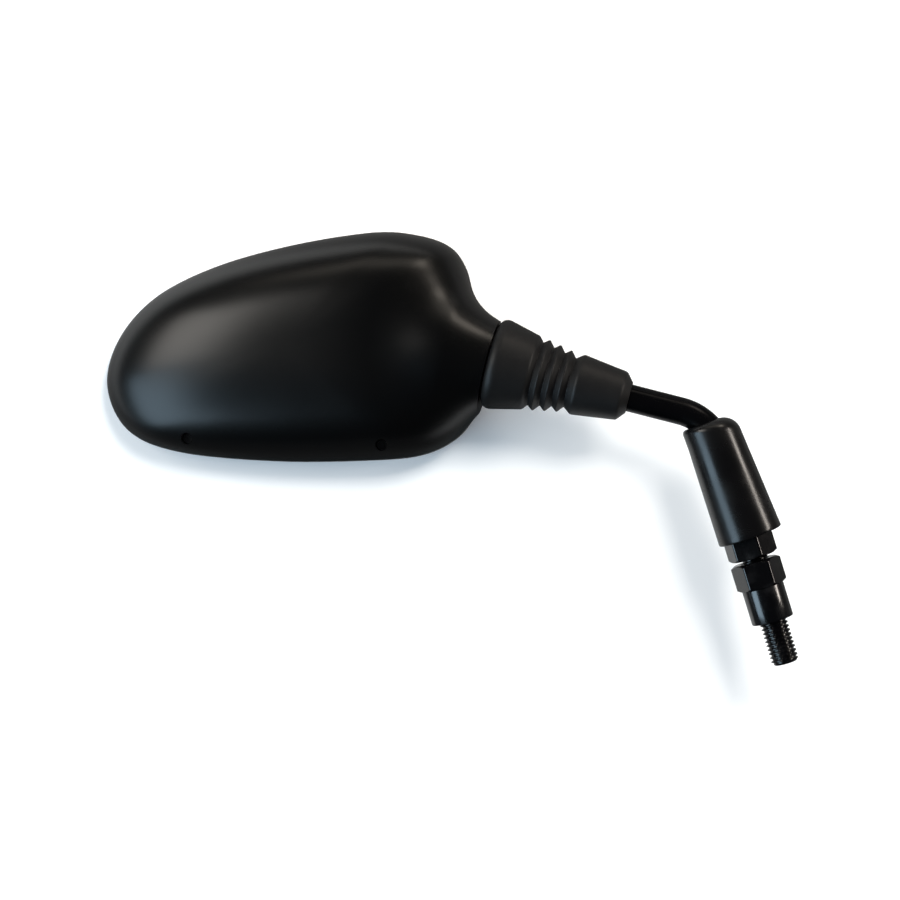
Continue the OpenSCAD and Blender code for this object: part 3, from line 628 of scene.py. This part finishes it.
housing_plastic, shader, place = new_finish("housing_plastic", IOR=1.5, Specular_IOR_Level=0.42)
grain, flow = place.noise(0.00035, 2.0), place.noise(0.03, 3.0)
flow.tint((0.0008, 0.0008, 0.0011), (0.0014, 0.0014, 0.0014)).into(shader, "Base Color")
(0.26 + 0.05 * flow + 0.04 * grain).into(shader, "Roughness")
grain.bump(0.00003, 0.14).into(shader, "Normal")


def ring_angles(first, last, low_rows, high_rows):
    """Angles from the head's edge to its crown, evenly spaced on either side of 45 degrees."""
    return np.concatenate([np.linspace(first, 45, low_rows), np.linspace(45, last, high_rows)[1:]])


# The rim's small round, the dome and the neck; then the room inside, round the ball's and the screws' seats
edge_rings = [head_ring(inset_outline(inset), depth) for inset, depth in ((0.0007, 0.0), (0.00025, 0.00012))]
outer_rings = head_surface(ring_angles(first=0.55, last=88.5, low_rows=70, high_rows=44), 0.0)
outer = ring_mesh("outer", np.stack([*edge_rings, *outer_rings]))
inner_rings = head_surface(ring_angles(first=0, last=87, low_rows=30, high_rows=18), wall,
                           closed_curve(outline_turns, steps=8))
inner = ring_mesh("inner", np.stack([inner_rings[0] + (0, past, 0), *inner_rings]))
neck_room = peg(ball_centre + (neck_length - wall) * neck_out, neck_out, far_radius, far_length)
hollow = carved(inner, [
    (cut, peg(ball_centre + saddle_foot * back, back, saddle_radius, head_depth)),
    *[(cut, peg(spot + boss_foot * glass_way, back, boss_radius, head_depth)) for spot in clamp_screws],
    *[(cut, peg(spot + well_roof * back, back, well_outside, head_depth)) for spot in wells],
    (cut, neck_room)])
pocket_line = inset_outline(rim_wall)
pocket = ring_mesh("pocket", np.stack([head_ring(pocket_line, -past), head_ring(pocket_line, pocket_depth)]))
spigot = peg(ball_centre + (neck_length - wall) * neck_out, neck_out, neck_spigot, wall + spigot_reach,
             columns=96)
opening_end = opening_foot + opening_length * np.tan(stem_swing)
housing = carved(outer, [
    (cut, peg(ball_centre + neck_length * neck_out, neck_out, far_radius, far_length, columns=128)),
    (join, spigot),
    (cut, hollow),
    (cut, pocket),
    (cut, ball(ball_centre, ball_room)),
    (cut, peg(ball_centre, neck_out, opening_foot, opening_length, opening_end)),
    *[(cut, peg(spot + hole_foot * glass_way, back, hole_radius, pocket_depth)) for spot in clamp_screws],
    *[(cut, peg(spot + well_floor * back, back, well_radius, head_depth)) for spot in wells],
    *[(cut, peg(spot, back, screw_hole, head_depth)) for spot in wells]])
add_piece("housing_shell", smoothed(housing, sharp=32), housing_plastic, "head", "housing_plastic",
          "housing")

# ---- Ball clamp, its springs and screws ----
# A die-cast cup with two ears presses the ball into its saddle. Two screws pull it down through coil
# springs, which keep the grip even. The springs are wound by a rule.
die_cast, shader, place = new_finish("die_cast", Metallic=0.85)
skin = place.noise(0.0009, 4.0)
skin.tint((0.25, 0.26, 0.28), (0.36, 0.36, 0.37)).into(shader, "Base Color")
(0.42 + 0.2 * skin).into(shader, "Roughness")
skin.bump(0.00003, 0.4).into(shader, "Normal")
dress("ball_clamp", die_cast)

coil_tree, of, sink = new_shape_tree("coil", {
    "Coil Radius": "Float", "Wire Radius": "Float", "Height": "Float", "Turns": "Float",
    "Finish": "Material"})
wound = of["Turns"]
turn = wound.node("GeometryNodeCurveSpiral", {
    "Resolution": 32, "Rotations": wound, "Start Radius": of["Coil Radius"],
    "End Radius": of["Coil Radius"], "Height": of["Height"]})
hoop = wound.node("GeometryNodeCurvePrimitiveCircle", {"Resolution": 12, "Radius": of["Wire Radius"]})
swept = wound.node("GeometryNodeCurveToMesh", {"Curve": turn, "Profile Curve": hoop, "Fill Caps": True})
real = wound.node("GeometryNodeRealizeInstances", {0: swept})
wound.node("GeometryNodeSetMaterial", {"Geometry": real, "Material": of["Finish"]}).into(sink, 0)

spring_foot = 0.00655
for label, spot in zip(("upper", "lower"), clamp_screws):
    coil = grown("clamp_coil_" + label, coil_tree, {
        "Coil Radius": 0.0026, "Wire Radius": 0.0005, "Height": 0.0042, "Turns": 4.0,
        "Finish": bright_steel})
    coil.transform(standing(spot + spring_foot * glass_way, glass_way))
    coil.shade_smooth()
    add_piece("clamp_coil_" + label, coil, bright_steel, "head", "bright_steel", "clamp_spring_" + label)

# ---- Glass, foam and carrier ----
# A convex mirror glass is glued with a foam pad on a moulded carrier, whose lip stands round its edge.
# Two screws from the wells in the back hold the carrier in the housing.
glass_radius, glass_thickness, recess = 1.2, 0.002, 0.0003


def bowed(line, depth):
    """A depth below the head's edge that follows the glass's curve."""
    across = np.hypot(*line.T)
    return depth + recess + glass_radius - np.sqrt(glass_radius ** 2 - across ** 2)


def bowed_ring(line, depth):
    """A ring of the head at such a depth."""
    return head_ring(line, bowed(line, depth))


def bowed_plate(name, inset, front, thickness, edge):
    """A thin plate with the glass's curve and a small round edge, from its back to its front."""
    line, eased_line, shares = inset_outline(inset), inset_outline(inset + edge), np.linspace(0.06, 0.97, 20)
    rings = [bowed_ring(eased_line * share, front + thickness) for share in shares]
    rings += [bowed_ring(eased_line, front + thickness), bowed_ring(line, front + thickness - edge),
              bowed_ring(line, front + edge), bowed_ring(eased_line, front)]
    rings += [bowed_ring(eased_line * share, front) for share in shares[::-1]]
    return ring_mesh(name, np.stack(rings)[:, ::-1], sharp=50)


mirror_glass, shader, place = new_finish("mirror_glass", Metallic=0.96)
film, dust = place.noise(0.05, 2.0), place.noise(0.0006, 3.0)
film.tint((0.80, 0.83, 0.86), (0.86, 0.88, 0.90)).into(shader, "Base Color")
(0.015 + 0.03 * film.rise(0.45, 0.8) + 0.05 * dust.rise(0.66, 0.8)).into(shader, "Roughness")
film.bump(0.00001, 0.05).into(shader, "Normal")
mirror_plate = bowed_plate("mirror_plate", inset=0.0032, front=0.0, thickness=glass_thickness, edge=0.0003)
add_piece("mirror_plate", mirror_plate, mirror_glass, "head", "mirror_glass", "glass")

foam, shader, place = new_finish("foam", Roughness=0.95, Specular_IOR_Level=0.2)
cells = place.node("ShaderNodeTexVoronoi", {"Vector": place, "Scale": 2200.0})
cells.tint((0.018, 0.018, 0.019), (0.05, 0.05, 0.05)).into(shader, "Base Color")
cells.bump(0.0002, 0.5).into(shader, "Normal")
(0.85 + 0.1 * cells).into(shader, "Roughness")
foam_sheet = bowed_plate("foam_sheet", inset=0.0062, front=0.00205, thickness=0.00095, edge=0.0002)
add_piece("foam_sheet", foam_sheet, foam, "head", "foam", "foam_pad")

carrier_plastic, shader, place = new_finish("carrier_plastic", Specular_IOR_Level=0.4)
grain = place.noise(0.0003, 3.0)
grain.tint((0.010, 0.010, 0.011), (0.017, 0.017, 0.018)).into(shader, "Base Color")
(0.45 + 0.12 * grain).into(shader, "Roughness")
grain.bump(0.00002, 0.3).into(shader, "Normal")
seat, foam_seat, lip_foot = 0.00695, 0.00305, 0.00035
post_foot, post_radius, post_length, post_hole, post_hole_depth = 0.006, 0.0022, 0.00335, 0.00115, 0.005
lip_out, lip_in, shares = inset_outline(0.0018), inset_outline(0.0030), np.linspace(0.06, 0.97, 14)
# From the middle of the tray's back, out to the lip, over it, and in to the middle of the foam's seat
rings = [head_ring(lip_out * share, seat) for share in shares]
rings += [head_ring(lip_out, seat), head_ring(lip_out, lip_foot)]
rings += [head_ring(inset_outline(inset), depth) for inset, depth in (
    (0.00188, 0.0001), (0.00215, 0.0), (0.00265, 0.0), (0.00292, 0.0001))]
rings += [head_ring(lip_in, lip_foot), bowed_ring(lip_in, foam_seat)]
rings += [bowed_ring(lip_in * share, foam_seat) for share in shares[::-1]]
tray = carved(ring_mesh("tray", np.stack(rings)[:, ::-1]), [
    *[(join, peg(spot + post_foot * back, back, post_radius, post_length)) for spot in wells],
    *[(cut, peg(spot + post_foot * back, back, post_hole, post_hole_depth)) for spot in wells]])
add_piece("carrier_tray", smoothed(tray, sharp=40), carrier_plastic, "head", "carrier_plastic",
          "glass_carrier")

# ---- Neck bellows ----
# Moulded rubber that seals the head's neck on the stem: a collar with a round rim, three folds and a plain
# cone. The real bellows bends at the ball's three joints; here it is made in three closed lengths that meet
# in valleys and ride no body.
soft_rubber, shader, place = new_finish("soft_rubber", Specular_IOR_Level=0.38)
bloom, pores = place.noise(0.008, 4.0), place.noise(0.0003, 2.0)
bloom.tint((0.0036, 0.0036, 0.0042), (0.0066, 0.0065, 0.0066)).into(shader, "Base Color")
(0.42 + 0.1 * bloom + 0.06 * pores).into(shader, "Roughness")
pores.bump(0.00004, 0.35).into(shader, "Normal")


def eased(corners, step):
    """A profile of (radius, height, rounding) corners as points, with no stretch longer than a step."""
    most_of_leg, bend_points = 0.48, 6
    points = []
    for i, (radius, height, ease) in enumerate(corners):
        here = np.array((radius, height))
        if ease == 0 or i in (0, len(corners) - 1):
            points.append(here)
            continue
        legs = [np.array(corners[k][:2]) - here for k in (i - 1, i + 1)]
        start, end = (here + leg * min(ease / np.linalg.norm(leg), most_of_leg) for leg in legs)
        for t in np.linspace(0, 1, bend_points):
            points.append((1 - t) ** 2 * start + 2 * t * (1 - t) * here + t * t * end)
    filled = [points[0]]
    for a, b in zip(points, points[1:]):
        parts = int(np.ceil(np.linalg.norm(b - a) / step)) or 1
        filled += [a + (b - a) * k / parts for k in range(1, parts + 1)]
    return np.array(filled)


bellows_foot, bellows_length, fold_pitch, fold_depth, folds = 0.0155, 0.0521, 0.0043, 0.0021, 3
fold_start, fold_end, cone_start, collar_r, cone_r = 0.0170, 0.0299, 0.0327, 0.0138, 0.0112
spigot_bore, stem_bore = 0.01265, 0.00503
slope = (cone_r - collar_r) / (fold_end - fold_start)
# Corners of the skin's outside and inside, from the neck to the stem: radius, height, rounding
corners = [(0.01405, 0, 0), (0.0160, 0.0010, 0.0008), (0.0168, 0.0030, 0.0014), (collar_r, 0.0153, 0.0006)]
for k in range(folds):
    at = fold_start + k * fold_pitch
    valley = collar_r - fold_depth + slope * (at - fold_start)
    corners.append((valley, at, 0.0003))
    corners.append((valley + fold_depth + slope * fold_pitch / 2, at + fold_pitch / 2, 0.0005))
corners += [(cone_r - fold_depth, fold_end, 0.0003), (cone_r, cone_start, 0.0007), (0.0090, 0.0493, 0.0007),
            (0.00565, bellows_length, 0)]
outer_line = eased(corners, step=0.0003)
inner_line = eased([
    (spigot_bore, 0, 0), (spigot_bore, 0.0050, 0.001), (0.0124, 0.0153, 0.001), (0.0103, fold_start, 0.001),
    (0.0077, fold_end, 0.001), (0.0098, cone_start, 0.001), (0.0076, 0.0433, 0.001),
    (stem_bore, 0.0463, 0.0004), (stem_bore, bellows_length, 0)], step=0.0008)
cuts = (0.0, fold_start + fold_pitch, fold_end, bellows_length)


def stretch(line, low, high):
    """The part of a profile between two heights, with a point on each."""
    touch = 1e-6
    inside = line[(line[:, 1] > low + touch) & (line[:, 1] < high - touch)]
    ends = [(np.interp(at, line[:, 1], line[:, 0]), at) for at in (low, high)]
    return [ends[0], *map(tuple, inside), ends[1]]


held = 0.0005
for k, (low, high) in enumerate(zip(cuts, cuts[1:])):
    points = stretch(outer_line, low, high) + stretch(inner_line, low, high)[::-1]
    rings = rings_about(ball_centre + bellows_foot * neck_out, neck_out, points, columns=120)
    length = add_piece("bellows_length_%d" % (k + 1), ring_mesh("bellows", rings, joined=True, sharp=60),
                       soft_rubber, None, "bellows_rubber")
    start, end = (ball_centre + (bellows_foot + at) * neck_out for at in (low + held, high))
    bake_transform(length)
    if k == 0:
        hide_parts("neck_bellows")

# ---- Stem cover ----
# A satin rubber sleeve over the foot of the bend, pushed up until the lock nut shows. The bend holds it
# over, so its top lies askew: a sharp corner on the inside of the bend and a full round on the outside.
cover_lean, cover_foot, cover_length, cover_shift = np.radians(3.3), 0.0313, 0.0438, 0.0011
mouth_r, top_r, cover_wall, hole_r, hole_mouth_r, room_r = 0.0117, 0.0101, 0.002, 0.00508, 0.00525, 0.0105
sharp_round, full_round, round_turn, taper_end = 0.0014, 0.0065, np.radians(8), cover_length - 0.007
hole_foot, widening, widening_top, room_top = 0.019, 0.012, cover_length - 0.004, 0.013
stud_side = np.cross((0, 1, 0), stud_up)
cover_up = stud_up * np.cos(cover_lean) - stud_side * np.sin(cover_lean)
cover_side = np.cross((0, 1, 0), cover_up)
cover_start = cover_foot * stud_up + cover_shift * stud_side

satin_rubber, shader, place = new_finish("satin_rubber", Specular_IOR_Level=0.5)
wiped, pores = place.noise(0.012, 3.0), place.noise(0.0004, 2.0)
wiped.tint((0.0016, 0.0016, 0.0020), (0.0032, 0.0031, 0.0033)).into(shader, "Base Color")
(0.21 + 0.1 * wiped.rise(0.35, 0.8) + 0.04 * pores).into(shader, "Roughness")
pores.bump(0.00003, 0.25).into(shader, "Normal")

arm_way = -neck_out
bend_angle = np.arccos(stud_up @ arm_way)
tangent = bend_radius * np.tan(bend_angle / 2)
bend_start = bend_corner - tangent * stud_up
bend_in = arm_way - (arm_way @ stud_up) * stud_up
bend_in /= np.linalg.norm(bend_in)


def stem_at(height):
    """The stem's middle and its direction where it passes a height along the cover."""
    turn = np.linspace(0, bend_angle, 200)[:, None]
    path = bend_start + bend_radius * (np.sin(turn) * stud_up + (1 - np.cos(turn)) * bend_in)
    path = np.vstack([[0 * stud_up], path])
    ways = np.vstack([[stud_up], np.cos(turn) * stud_up + np.sin(turn) * bend_in])
    heights = (path - cover_start) @ cover_up
    middle = np.array([np.interp(height, heights, path[:, i]) for i in range(3)])
    way = np.array([np.interp(height, heights, ways[:, i]) for i in range(3)])
    return middle, way / np.linalg.norm(way)


angle = np.linspace(0, 2 * np.pi, 144, endpoint=False)
around = np.cos(angle)[:, None] * cover_side + np.sin(angle)[:, None] * np.array((0, 1, 0))
outside = (1 + np.cos(angle - round_turn)) / 2
shoulder = sharp_round + (full_round - sharp_round) * outside ** 0.9


def cover_ring(radius, height):
    """A ring of the cover round its own axis."""
    radius, height = radius + 0 * angle, height + 0 * angle
    return cover_start + radius[:, None] * around + height[:, None] * cover_up


def stem_ring(radius, height, share):
    """A ring round the stem where it passes a height; the share moves it back to the cover's own axis."""
    middle, way = stem_at(height)
    lean = way - (way @ cover_up) * cover_up
    stretch_by = 1 + (1 / (way @ cover_up) - 1) * ((around @ lean) / max(np.linalg.norm(lean), 1e-9)) ** 2
    own = cover_start + height * cover_up
    return share * own + (1 - share) * middle + (radius * stretch_by)[:, None] * around


# Up the outside, over the shoulder, into the hole along the bent stem, and down the room for the nut
rings = [cover_ring(mouth_r - less, height)
         for less, height in ((0.0005, 0.0), (0.00015, 0.00015), (0.0, 0.0005))]
for height in np.linspace(0.002, taper_end - 0.0005, 20):
    rings.append(cover_ring(mouth_r + (top_r - mouth_r) * height / taper_end, height))
for bend in np.radians(np.linspace(0, 90, 13)):
    rings.append(cover_ring(top_r - shoulder + shoulder * np.cos(bend),
                            cover_length - shoulder + shoulder * np.sin(bend)))
edge_ring, hole_ring = rings[-1], stem_ring(hole_mouth_r, cover_length, 0.0)
for share in (0.3, 0.6, 0.85, 1.0):
    rings.append(edge_ring + (hole_ring - edge_ring) * share)
rings.append(stem_ring(hole_r, cover_length - 0.0004, 0.0))
for height in np.linspace(cover_length - 0.002, hole_foot, 14):
    share = np.clip((widening_top - height) / widening, 0, 1)
    rings.append(stem_ring(hole_r + (top_r - cover_wall - hole_r) * share, height, share))
rings += [cover_ring(room_r, room_top), cover_ring(room_r, 0.0006), cover_ring(room_r + 0.0003, 0.0)]
sleeve = ring_mesh("cover_sleeve", np.stack(rings), joined=True, sharp=50)
add_piece("cover_sleeve", sleeve, satin_rubber, "cover", "cover_rubber", "stem_cover")

# ---- Paper below the mirror ----
# The sheet of white paper that the finished mirror lies on, glass down. It is seen from its front only. The
# glass, which lies less than 2 mm above it, looks through the part of it below the head and shows the card.


def paper_finish(name, mirrored_here):
    """White paper, which glossy rays see as far as mirrored_here says and pass through otherwise; to them
    its colour is painted light and shade by place.
    """
    paper, shader, place = new_finish(name, Roughness=0.9, Specular_IOR_Level=0.1, Emission_Strength=0.09)
    fibre = place.noise(0.004, 4.0)
    fibre.bump(0.00002, 0.2).into(shader, "Normal")
    from_camera, through, off_glossy = ray_kinds(place.tree)
    in_view = from_camera.most(through)
    along, _, height = place.parts()

    def round_spot(x, z, width, depth):
        """Distance from a spot on the paper, where 1 is on an ellipse round it."""
        across, up = (along - x) * (1 / width), (height - z) * (1 / depth)
        return across * across + up * up

    # Mirrored, the paper's colour is painted light and shade by place: painted shade close round the head,
    # and nearly black elsewhere but for its left, a little round the head and a painted bright spot below
    # the arm
    outside_painted_head_shade = round_spot(-0.16, -0.015, 0.12, 0.075).rise(0.6, 1.5)
    near = 1 - round_spot(-0.11, 0.06, 0.2, 0.15).rise(0.6, 1.4)
    painted_light_below_arm = 1 - round_spot(-0.045, 0.02, 0.055, 0.06).rise(0.5, 1.2)
    to_left = (height - along).rise(0.32, 0.42)
    painted_reflected_light = 0.04 + outside_painted_head_shade * (0.11 * near + 0.62 * to_left) + 0.5 * painted_light_below_arm
    share = (0.94 + 0.01 * fibre) * (1 - off_glossy) + off_glossy * painted_reflected_light
    share.tint(black, white).into(shader, "Base Color")
    in_view.tint(black, (0.80, 0.88, 1.0)).into(shader, "Emission Color")
    from_behind = place.node("ShaderNodeNewGeometry", out=6)
    seen = in_view.most(off_glossy * mirrored_here) * (1 - from_behind)
    clear = place.node("ShaderNodeBsdfTransparent")
    mixed = place.node("ShaderNodeMixShader", {0: seen, 1: clear, 2: Wire(place.tree, shader.outputs[0])})
    mixed.into(paper.node_tree.nodes["Material Output"], "Surface")
    return paper


paper_y, paper_reach, rim_gap = cad_box[1][1] + 0.0015, 1.2, 0.0012
below_head = inset_outline(-rim_gap)
way_out = below_head / np.hypot(*below_head.T)[:, None]
far_edge = way_out * (paper_reach / np.maximum(*np.abs(way_out).T))[:, None]
points = [(head_middle[0] + x, paper_y, head_middle[2] + z) for x, z in (*below_head, *far_edge)]
count = len(below_head)
strips = [(k, count + k, count + (k + 1) % count, (k + 1) % count) for k in range(count)]
paper = add_stage("paper", points, [tuple(range(count)), *strips], paper_finish("white_paper", 1.0),
                  paper_finish("white_paper_below_head", 0.0))
paper.data.polygons[0].material_index = 1
